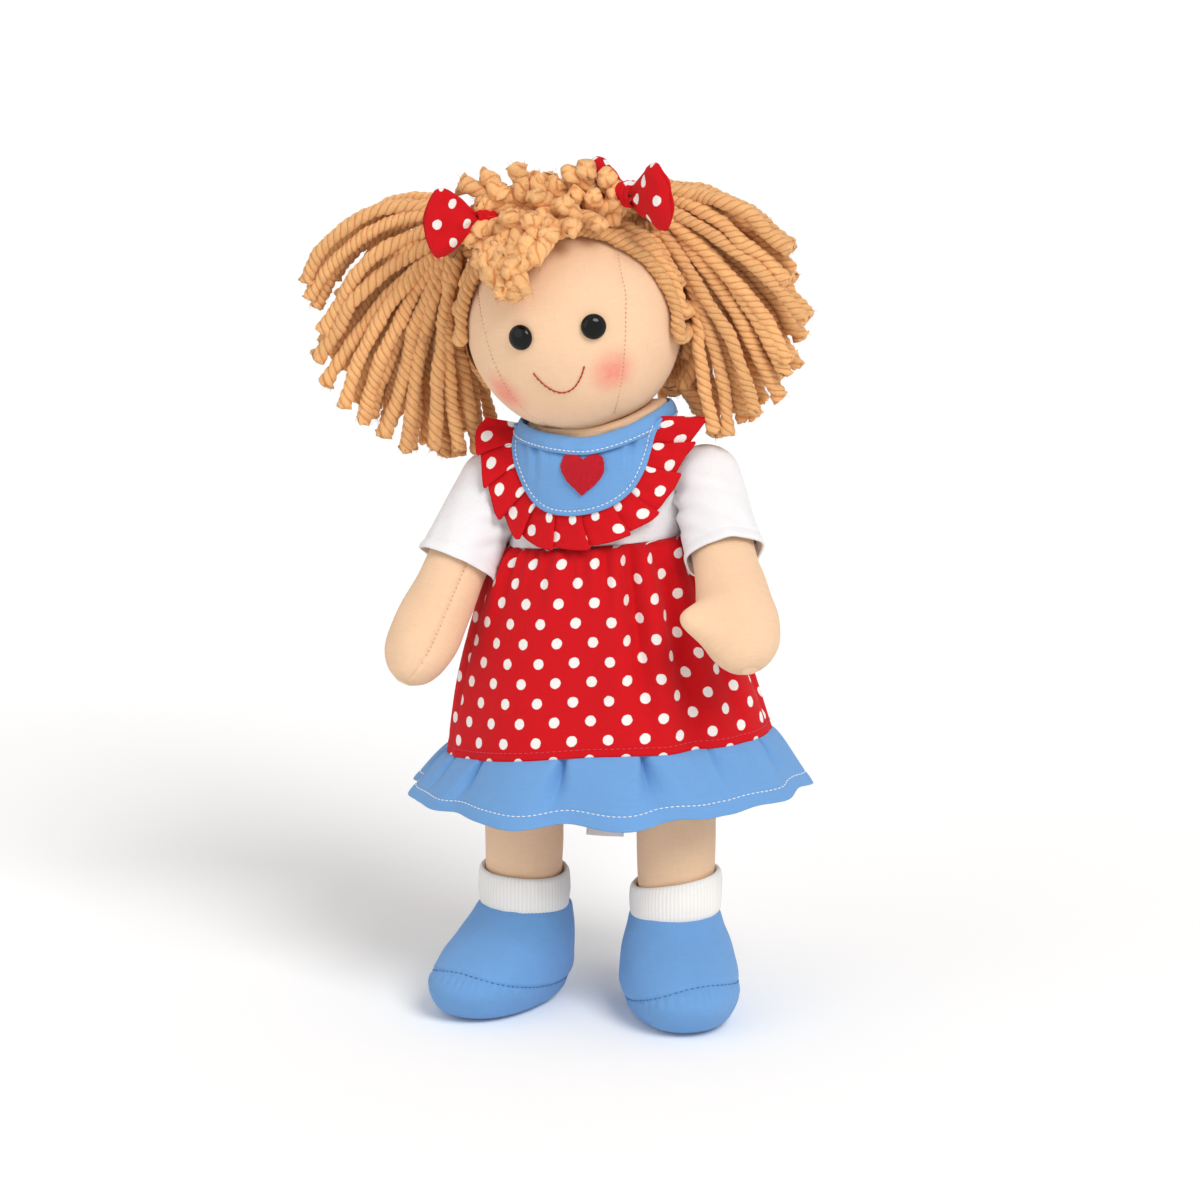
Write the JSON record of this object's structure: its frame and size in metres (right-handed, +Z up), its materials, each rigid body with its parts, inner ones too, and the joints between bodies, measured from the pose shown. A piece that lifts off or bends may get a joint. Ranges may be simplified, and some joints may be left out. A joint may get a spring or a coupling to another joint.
{
  "type": "rag doll",
  "caption": "Soft rag doll with yarn bunches, spotted frilled dress and stuffed limbs that swing at neck, shoulders and hips.",
  "frame": {"origin": "on the floor under the middle of the doll's outer size, between the feet", "axes": "+Z up along the standing doll, -Y the way it faces, +X towards its left hand"},
  "size_m": [0.1968, 0.1174, 0.3427],
  "materials": {
    "flesh_cotton": "matt plain-weave cotton",
    "white_jersey": "matt fine-knit jersey",
    "white_rib": "matt ribbed knit",
    "white_cotton": "matt plain-weave cotton",
    "blue_cotton": "matt plain-weave cotton",
    "blue_foot_cotton": "matt plain-weave cotton",
    "red_spotted_cotton": "matt plain-weave cotton with white dots",
    "red_felt": "matt pressed felt",
    "yarn": "soft two-ply yarn",
    "smile_thread": "stitched thread",
    "eye_plastic": "polished black plastic",
    "washer_plastic": "satin white plastic",
    "elastic": "matt elastic band",
    "label_satin": "satin woven tape",
    "closure_tape": "hook-and-loop tape"
  },
  "bodies": {
    "torso": {"torso": "flesh_cotton", "shirt_body": "white_jersey", "bib": "blue_cotton", "neckband": "blue_cotton", "heart": "red_felt", "ruffle": "red_spotted_cotton", "skirt": "red_spotted_cotton", "frill": "blue_cotton", "closure_tape": "closure_tape", "closure_flap": "closure_tape"},
    "neck": {"neck": "flesh_cotton"},
    "head": {"head": "flesh_cotton", "eye_left": "eye_plastic", "eye_right": "eye_plastic", "washer_left": "washer_plastic", "washer_right": "washer_plastic", "mouth_stitch": "smile_thread", "hair_crown": "yarn", "fringe": "yarn", "tie_left": "elastic", "tie_right": "elastic", "bow_left": "red_spotted_cotton", "bow_right": "red_spotted_cotton", "knot_left": "red_spotted_cotton", "knot_right": "red_spotted_cotton"},
    "bunch_left": {"bunch_left": "yarn"},
    "bunch_right": {"bunch_right": "yarn"},
    "arm_left": {"arm_left": "flesh_cotton", "sleeve_left": "white_jersey"},
    "arm_right": {"arm_right": "flesh_cotton", "sleeve_right": "white_jersey"},
    "seat": {"seat": "white_cotton", "label_tab": "label_satin"},
    "leg_left": {"leg_left": "flesh_cotton", "sock_left": "white_rib", "shoe_left": "blue_foot_cotton", "sole_left": "blue_foot_cotton"},
    "leg_right": {"leg_right": "flesh_cotton", "sock_right": "white_rib", "shoe_right": "blue_foot_cotton", "sole_right": "blue_foot_cotton"}
  },
  "joints": [
    {"name": "neck_turn", "type": "hinge", "parent": "torso", "child": "neck", "pos_m": [0.00337, -0.004, 0.2747], "axis": [-0.1822, 0, 0.9833], "range_deg": [-25, 25]},
    {"name": "head_nod", "type": "hinge", "parent": "neck", "child": "head", "pos_m": [0.00337, -0.004, 0.2747], "axis": [1, 0, 0], "range_deg": [-12, 12]},
    {"name": "bunch_left_swing", "type": "hinge", "parent": "head", "child": "bunch_left", "pos_m": [0.03062, 0.00219, 0.32348], "axis": [0, -1, 0], "range_deg": [0, 35]},
    {"name": "bunch_right_swing", "type": "hinge", "parent": "head", "child": "bunch_right", "pos_m": [-0.04004, -0.00221, 0.31039], "axis": [0, 1, 0], "range_deg": [0, 35]},
    {"name": "arm_left_swing", "type": "hinge", "parent": "torso", "child": "arm_left", "pos_m": [0.05437, 0, 0.2147], "axis": [-1, 0, 0], "range_deg": [-75, 10]},
    {"name": "arm_right_swing", "type": "hinge", "parent": "torso", "child": "arm_right", "pos_m": [-0.02963, 0, 0.2087], "axis": [-1, 0, 0], "range_deg": [-62, 23]},
    {"name": "hip_fold", "type": "hinge", "parent": "torso", "child": "seat", "pos_m": [0.01237, -0.026, 0.15155], "axis": [-1, 0, 0], "range_deg": [0, 85], "deforming": ["skirt", "frill"]},
    {"name": "leg_left_swing", "type": "hinge", "parent": "seat", "child": "leg_left", "pos_m": [0.04287, 0, 0.122], "axis": [-1, 0, 0], "range_deg": [-18, 18]},
    {"name": "leg_right_swing", "type": "hinge", "parent": "seat", "child": "leg_right", "pos_m": [-0.01813, 0, 0.122], "axis": [-1, 0, 0], "range_deg": [-18, 18]}
  ]
}
